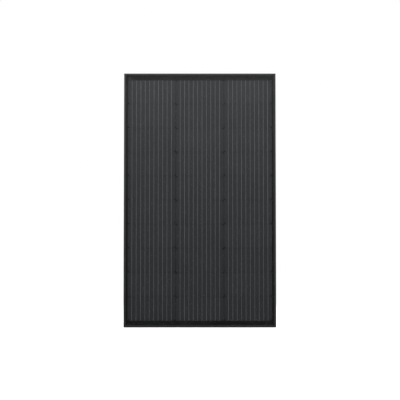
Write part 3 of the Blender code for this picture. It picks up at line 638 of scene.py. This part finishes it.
# %% Beads round the laminate
LIP_EDGE = 7.5 * MM
LEDGE_EDGE = 10.5 * MM
FRONT_TURN = 0.9 * MM
REAR_TURN = 4.5 * MM
CLEAR = 0.02 * MM
GLASS_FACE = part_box("front_glass")[0].y
FILM_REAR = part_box("backsheet")[1].y
PANEL_HALF_W, PANEL_HALF_H = cad_high.x, cad_high.z

front_section = [(0.1, -0.02), (0.1, -0.55), (-0.25, -0.45), (-0.55, -0.2), (-0.75, -0.02)]
front_section = [(a * MM, GLASS_FACE + y * MM) for a, y in front_section]
lip_path = round_path(PANEL_HALF_W - LIP_EDGE, PANEL_HALF_H - LIP_EDGE, FRONT_TURN)
bead("front_sealant_bead", lip_path, front_section, seal, 0.25, FRONT_TURN)

rear_section = [(0, 0), (-3.2, 0), (-2.2, 0.55), (-1.1, 1.2), (-0.4, 1.9), (0, 2.3)]
rear_section = [(a * MM - CLEAR, FILM_REAR + CLEAR + y * MM) for a, y in rear_section]
ledge_path = round_path(PANEL_HALF_W - LEDGE_EDGE, PANEL_HALF_H - LEDGE_EDGE, REAR_TURN)
rear_bead = bead("rear_sealant_bead", ledge_path, rear_section, seal, 0.3, REAR_TURN)
print("rear bead:", len(rear_bead.data.polygons), "faces")

# %% [markdown]
# ## The junction box's fillet
#
# The junction box is glued on, and the adhesive comes out all round its foot. It is the same kind
# of bead, on a path round the foot, and it lies outside its path instead of inside.

# %% Bead round the box
FOOT_HALF_W, FOOT_HALF_H, FOOT_R = 58 * MM, 45 * MM, 10 * MM
BOX_MIDDLE_Z = 353 * MM

box_section = [(-0.5, 0), (2.8, 0), (2.2, 0.75), (1.2, 1.2), (0.4, 1.9), (-0.5, 2.1)]
box_section = [(a * MM, FILM_REAR + CLEAR + y * MM) for a, y in box_section]
foot_path = round_path(FOOT_HALF_W, FOOT_HALF_H, FOOT_R, BOX_MIDDLE_Z)
box_bead = bead("box_adhesive_bead", foot_path, box_section, adhesive, 0.35)
print("box bead:", len(box_bead.data.polygons), "faces")

# %% [markdown]
# ## Sealant in the mitres
#
# Two bars that meet at 45 degrees never close without a hairline, and on the real frame a smear
# of sealant keeps water, and light, out of it. Its shape is the bar's own section, so it isn't
# drawn again: the faces at the end of a bar are copied, moved off it by a hair and given a
# thickness. Its black is deeper and duller than the edge sealant's. That is partly the sealant's
# own colour and partly painted shade, which keeps the joint a dark hairline.

# %% Mitre sealant
OFF_THE_BAR = 0.05 * MM
SMEAR = 0.2 * MM
WELD_REACH = 0.002 * MM
# Partly painted shade: a black deeper and duller than the edge sealant's, standing in for the
# shaded hairline of the joint.
mitre_black_with_painted_shade = black_stuff("mitre_sealant_painted_shade", (0.004, 0.004, 0.004), 0.7, 300, 0.02 * MM, 0.03)


def mitre_smear(name, bar, way):
    """A thin plate in front of the bar's end that faces this way."""
    way = Vector(way).normalized()
    bm = bmesh.new()
    bar_mesh = nodes[bar].data
    for face in bar_mesh.polygons:
        if face.normal.dot(way) > SQUARE_ON:
            corners = [bar_mesh.vertices[i].co + way * OFF_THE_BAR for i in face.vertices]
            bm.faces.new([bm.verts.new(corner) for corner in corners])
    bmesh.ops.remove_doubles(bm, verts=bm.verts, dist=WELD_REACH)
    bmesh.ops.solidify(bm, geom=bm.faces[:], thickness=-SMEAR)
    bmesh.ops.recalc_face_normals(bm, faces=bm.faces)
    mesh = bpy.data.meshes.new(name)
    bm.to_mesh(mesh)
    bm.free()
    mesh.materials.append(mitre_black_with_painted_shade)
    return placed(name, mesh, "panel")


for bar, down in (("top", -1), ("bottom", 1)):
    for side, sideways in (("left", -1), ("right", 1)):
        smear = mitre_smear(f"mitre_sealant_{bar}_{side}", f"frame_{bar}", (sideways, 0, down))
        reach = [max(abs(v.co[axis]) for v in smear.data.vertices) / MM for axis in range(3)]
        print(smear.name, "reaches in mm:", [round(r, 2) for r in reach])

# %% [markdown]
# ## Cable glands
#
# Each gland is a hexagon body in the box's wall, a cap nut and a rubber sleeve. In the CAD model
# they have eighteen sides. Here they are turned with many more, the hexagons get the rounded
# corners of a moulding and the nut its fine grip ribs. A screw modifier could turn a profile, but
# only a round one. So each ring is worked out point by point, and a share says how far it has
# gone from a circle to the hexagon. The pieces stand for the CAD ones.

# %% Helper for turned pieces
SIDES = 144
SIXTH = math.pi / 3
GRIP_RIBS = 36
GRIP_DEPTH = 0.16
GLAND_FLAT = 6 * MM
GLAND_CORNER = 6.6 * MM
WALL_X = 55 * MM
GLAND_Y = -12.92 * MM
GLAND_Z = 331 * MM


def turned(name, sign, profile, finish_made, node_name, ribs=0.0):
    """A ring-shaped piece on a gland's axis, from (outward, radius, share of hexagon) in mm."""
    rows = []
    for outward, radius, hexagon in profile:
        row = []
        for i in range(SIDES):
            t = 2 * math.pi * i / SIDES
            off_flat = (t + SIXTH / 2) % SIXTH - SIXTH / 2
            six = min(GLAND_FLAT / math.cos(off_flat), GLAND_CORNER)
            grip = ribs * max(0.0, math.cos(GRIP_RIBS * t)) if hexagon == 1 else 0.0
            r = (radius * MM) * (1 - hexagon) + (six - grip * MM) * hexagon
            x = sign * (WALL_X + outward * MM)
            row.append((x, GLAND_Y + r * math.cos(t), GLAND_Z + r * math.sin(t)))
        rows.append(row)
    return skinned(name, rows, finish_made, loop=True, stands_for=(node_name,))


print("sides of a turned piece:", SIDES)

# %% Glands
body_profile = [
    (-4.7, 4.1, 0), (-4.7, 4.8, 0), (-4.5, 5.0, 0), (0.3, 5.0, 0), (0.3, 5.9, 0), (0.5, 0, 1),
    (3.0, 0, 1), (3.3, 5.9, 0), (3.3, 5.0, 0), (9.3, 5.0, 0), (9.3, 4.1, 0),
]
nut_profile = [
    (3.6, 5.3, 0), (3.6, 5.9, 0), (3.9, 0, 0.97), (4.2, 0, 1), (8.7, 0, 1), (9.0, 0, 0.97),
    (9.2, 5.9, 0), (9.25, 5.7, 0), (10.0, 5.62, 0), (10.8, 5.4, 0), (11.5, 5.1, 0),
    (12.0, 4.75, 0), (12.2, 4.4, 0), (12.2, 3.7, 0), (12.0, 3.5, 0), (9.6, 3.5, 0), (9.6, 5.3, 0),
]
sleeve_profile = [
    (0.3, 3.4, 0), (0.3, 3.8, 0), (9.3, 3.8, 0), (9.3, 3.4, 0), (9.0, 3.2, 0), (7.6, 3.2, 0),
    (7.2, 3.45, 0), (6.8, 3.2, 0), (5.4, 3.2, 0), (5.0, 3.45, 0), (4.6, 3.2, 0), (0.6, 3.2, 0),
]
for sign, side in ((-1, "left"), (1, "right")):
    body = turned(
        f"moulded_gland_body_{side}", sign, body_profile, gland_plastic, f"gland_body_{side}"
    )
    nut = turned(
        f"ribbed_nut_{side}", sign, nut_profile, gland_plastic, f"gland_nut_{side}", GRIP_DEPTH
    )
    sleeve = turned(f"cable_sleeve_{side}", sign, sleeve_profile, rubber, f"gland_seal_{side}")
    print(side, "gland, faces:", [len(piece.data.polygons) for piece in (body, nut, sleeve)])

# %% [markdown]
# ## Soft edges and round corners
#
# The CAD model makes round corners, pins and diodes of a few flat facets, and shading across them
# brings the roundness back. Plain smooth shading would bend the light on the flat walls as well.
# So the normals are weighted by the faces' areas: the walls stay flat, and the narrow facets take
# up the whole turn. No moulding leaves its tool with a knife edge either, so the box, its lid and
# its gasket get a small bevel that catches the light.
#
# The model comes as loose triangles, which neither step can work on, so they are welded first.
# Rounding changes no shape, so it goes straight on the CAD pieces. A bevel does, so the bevelled
# pieces are copies that stand for them.

# %% Helpers for edges
SHARP_FROM = math.radians(50)
BEVEL_FROM = math.radians(40)


def smooth_below(limit):
    """A node group that makes the edges above this angle sharp and the rest smooth."""
    group = bpy.data.node_groups.new("smooth_below", "GeometryNodeTree")
    for way in ("INPUT", "OUTPUT"):
        group.interface.new_socket("Geometry", in_out=way, socket_type="NodeSocketGeometry")
    start = node(group, "NodeGroupInput")
    angle = node(group, "GeometryNodeInputMeshEdgeAngle")
    steep = node(
        group,
        "FunctionNodeCompare",
        {"data_type": "FLOAT", "operation": "GREATER_THAN"},
        {"A": angle.outputs[0], "B": limit},
    )
    shaded = node(
        group,
        "GeometryNodeSetMeshNormal",
        {"mode": "SHARPNESS"},
        {"Mesh": start.outputs[0], "Remove Custom": True, "Edge Sharpness": steep.outputs[0]},
    )
    node(group, "NodeGroupOutput", {}, {0: shaded.outputs[0]})
    return group


rounding = smooth_below(SHARP_FROM)


def rounded(piece, bevel_width=0.0):
    """Welds a piece, bevels its sharp edges if asked to, and shades its facets round."""
    stack = piece.modifiers
    stack.new("weld", "WELD").merge_threshold = WELD_REACH
    if bevel_width:
        bevel = stack.new("soft_edges", "BEVEL")
        bevel.width, bevel.segments = bevel_width, 2
        bevel.limit_method, bevel.angle_limit = "ANGLE", BEVEL_FROM
    stack.new("rounding", "NODES").node_group = rounding
    stack.new("flat_walls", "WEIGHTED_NORMAL").keep_sharp = True


def moulded(name, node_name, body, bevel_width):
    """A copy of a CAD piece with soft edges, which stands for it."""
    copied = nodes[node_name].data.copy()
    rounded(placed(name, copied, body, (node_name,)), bevel_width)
    print(name, "stands for", node_name)


print("sharp from", round(math.degrees(SHARP_FROM)), "degrees")

# %% Soft edges
PLASTIC_EDGE = 0.3 * MM
RUBBER_EDGE = 0.2 * MM

moulded("moulded_box_base", "junction_box_base", "panel", PLASTIC_EDGE)
moulded("moulded_box_lid", "junction_box_lid", "lid", PLASTIC_EDGE)
moulded("moulded_lid_gasket", "lid_gasket", "lid", RUBBER_EDGE)
faceted = ("frame_", "bypass_diode", "terminal_", "lead_", "junction_box_adhesive", "corner_key")
round_only = [name for name in nodes if name.startswith(faceted)]
for name in round_only:
    rounded(nodes[name])
print("rounded only:", len(round_only), "pieces")

# %% [markdown]
# ## Solder joints
#
# With the lid open, the three leads can be seen where they are soldered to the terminals, and the
# diodes' wires where they lie on the short tabs. Solder draws itself into a low, uneven mound. A
# sphere would look like a bead, so each mound is a stack of flattened rings, pulled by a noise.

# %% Helper for mounds
MOUND_LEVELS, MOUND_SIDES = 8, 20
PULL = 0.22
solder = tinned("solder", (0.58, 0.58, 0.59))


def mound(name, middle, reach):
    """A soldered mound round a point, reaching this far along x, y and z."""
    rows = []
    for level in range(1, MOUND_LEVELS):
        up = math.pi * level / MOUND_LEVELS
        row = []
        for i in range(MOUND_SIDES):
            t = 2 * math.pi * i / MOUND_SIDES
            side = Vector((math.sin(up) * math.cos(t), -math.cos(up), math.sin(up) * math.sin(t)))
            pull = 1 + PULL * noise.noise(side * 1.7 + middle * 900)
            row.append(middle + Vector(a * b * pull for a, b in zip(side, reach)))
        rows.append(row)
    return skinned(name, rows, solder)


print("faces of a mound:", (MOUND_LEVELS - 2) * MOUND_SIDES + 2)

# %% Joints
LEAD_Z = 375 * MM
LEAD_STEP = 33.4545 * MM
TAB_TOP = -11.84 * MM
LEAD_MOUND = (2.4 * MM, 0.9 * MM, 1.3 * MM)
WIRE_Y = -13.94 * MM
WIRE_Z = 360.27 * MM
WIRE_PLACES = (-31.2 * MM, -2.4 * MM, 2.4 * MM, 31.2 * MM)
WIRE_MOUND = (1.9 * MM, 0.9 * MM, 1.2 * MM)

for name, x in (("positive", -LEAD_STEP), ("middle", 0.0), ("return", LEAD_STEP)):
    mound(f"lead_joint_{name}", Vector((x, TAB_TOP - 0.3 * MM, LEAD_Z - 0.4 * MM)), LEAD_MOUND)
for number, x in enumerate(WIRE_PLACES, 1):
    mound(f"wire_joint_{number}", Vector((x, WIRE_Y - 0.2 * MM, WIRE_Z)), WIRE_MOUND)

# %% [markdown]
# ## The floor
#
# The panel stands on a pale floor in a white room. The floor is lit like any surface, so it keeps
# the panel's soft shadow, and a little light of its own brings it up to white. A floor that
# shines would also light the panel from below, so one shader is for whoever looks at it, the
# camera, a mirror or glass, and a plain grey one is for the light that it passes on.


# %% Helper for what is seen
def seen(tree):
    """1 where the camera, a mirror or glass looks, and 0 where light is gathered."""
    rays = node(tree, "ShaderNodeLightPath").outputs
    looks = rays["Is Camera Ray"]
    for other in ("Is Glossy Ray", "Is Transmission Ray"):
        wires = {0: looks, 1: rays[other]}
        looks = node(tree, "ShaderNodeMath", {"operation": "MAXIMUM"}, wires).outputs[0]
    return looks


print("helper for what is seen ready")

# %% Floor
FLOOR_HALF = 60.0
PALE, GREY, WHITE = (0.65, 0.65, 0.65, 1), (0.12, 0.12, 0.12, 1), (1, 1, 1, 1)
FLOOR_GLOW = 0.9

floor_bm = bmesh.new()
bmesh.ops.create_grid(floor_bm, x_segments=4, y_segments=4, size=FLOOR_HALF)
floor_mesh = bpy.data.meshes.new("floor")
floor_bm.to_mesh(floor_mesh)
floor_bm.free()
floor = bpy.data.objects.new("floor", floor_mesh)
floor.location.z = cad_low.z
bpy.context.scene.collection.objects.link(floor)
floor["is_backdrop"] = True

floor_finish = bpy.data.materials.new("studio_floor")
floor_finish.use_nodes = True
floor_tree = floor_finish.node_tree
floor_tree.nodes.clear()
matt = node(floor_tree, "ShaderNodeBsdfDiffuse", {}, {"Color": PALE})
lift = node(floor_tree, "ShaderNodeEmission", {}, {"Color": WHITE, "Strength": FLOOR_GLOW})
paper = node(floor_tree, "ShaderNodeAddShader", {}, {0: matt.outputs[0], 1: lift.outputs[0]})
plain = node(floor_tree, "ShaderNodeBsdfDiffuse", {}, {"Color": GREY})
choice = node(
    floor_tree,
    "ShaderNodeMixShader",
    {},
    {0: seen(floor_tree), 1: plain.outputs[0], 2: paper.outputs[0]},
)
end = node(floor_tree, "ShaderNodeOutputMaterial")
floor_tree.links.new(choice.outputs[0], end.inputs["Surface"])
floor_mesh.materials.append(floor_finish)
print("floor at", round(floor.location.z, 3))

# %% [markdown]
# ## The room
#
# A white world would be the simplest studio, but it would light the panel from all sides and take
# its shading away. So the room is white to whoever looks at it, and much dimmer as a light, which
# leaves the shading to the lamps.

# %% Room
ROOM_FILL = 0.2

room = bpy.data.worlds.new("white_room")
bpy.context.scene.world = room
room.use_nodes = True
room_tree = room.node_tree
backdrop = room_tree.nodes["Background"]
level = spread(room_tree, seen(room_tree), ROOM_FILL, 1.0, 0.0, 1.0)
room_tree.links.new(level, backdrop.inputs["Strength"])
backdrop.inputs["Color"].default_value = WHITE
print("room light:", ROOM_FILL)

# %% [markdown]
# ## The lamps
#
# The photograph is brighter at the top of the panel than at its foot, so the main lamp hangs high
# in front. It is a wide softbox, since a small lamp would make a hot spot, and it hangs above
# what the glass mirrors to the camera. A second one lights the rear for the other views.


# %% Lamps
def softbox(name, place, aim, width, height, watts):
    """A large area lamp that the camera doesn't see."""
    data = bpy.data.lights.new(name, "AREA")
    data.shape = "RECTANGLE"
    data.size, data.size_y, data.energy = width, height, watts
    lamp = bpy.data.objects.new(name, data)
    lamp.location = place
    lamp.rotation_mode = "QUATERNION"
    lamp.rotation_quaternion = (Vector(aim) - Vector(place)).to_track_quat("-Z", "Y")
    lamp.visible_camera = False
    bpy.context.scene.collection.objects.link(lamp)
    print(name, "of", watts, "watts")


UPPER_MIDDLE = (0, 0, 0.1)
softbox("main_softbox", (0, -1.9, 1.1), UPPER_MIDDLE, width=1.6, height=0.5, watts=62)
softbox("rear_softbox", (1.3, 1.6, 1.3), UPPER_MIDDLE, width=1.2, height=0.9, watts=75)

# %% [markdown]
# ## Sizes and finish
#
# The picture is shown as it is, without a film look. The size of what is seen is printed here, to
# set against the CAD model's size, which was printed at the start.

# %% Sizes
bpy.context.scene.view_settings.view_transform = "Standard"
low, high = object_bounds()
print("visual box:", [round(v, 4) for v in (*low, *high)])
